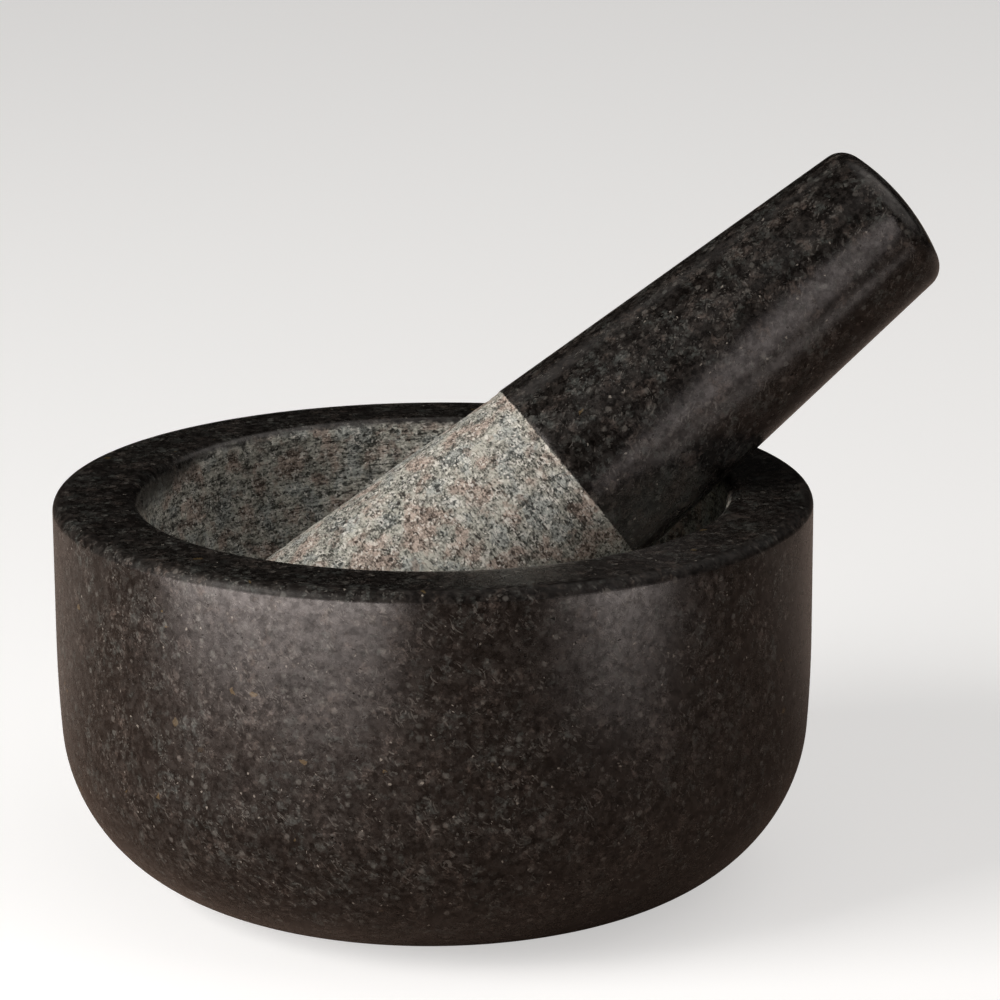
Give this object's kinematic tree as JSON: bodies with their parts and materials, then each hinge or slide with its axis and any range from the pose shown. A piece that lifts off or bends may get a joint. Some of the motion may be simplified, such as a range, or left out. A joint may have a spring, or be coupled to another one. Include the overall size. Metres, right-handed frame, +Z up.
{
  "type": "mortar and pestle",
  "caption": "Round stone mortar with a wide flat rim and a ball-shaped hollow, and a tapered stone pestle that rests in it and lifts out, for grinding by hand.",
  "frame": {"origin": "centre of the flat underside of the mortar", "axes": "+Z up along the mortar's axis; the pestle leans towards +X, turned 11.7 degrees towards +Y"},
  "size_m": [0.1643, 0.14, 0.1325],
  "materials": {
    "mortar_stone": "dark speckled granite, polished outside and on the rim, unpolished grey in the hollow",
    "pestle_stone": "speckled granite, dark and polished on the grip, pale grey and unpolished on the grinding end"
  },
  "bodies": {
    "mortar": {"mortar": "mortar_stone"},
    "pestle": {"pestle": "pestle_stone"}
  },
  "joints": [
    {"name": "pestle_lift", "type": "slide", "parent": "mortar", "child": "pestle", "axis": [0, 0, 1], "range_m": [0, 0.08]}
  ]
}
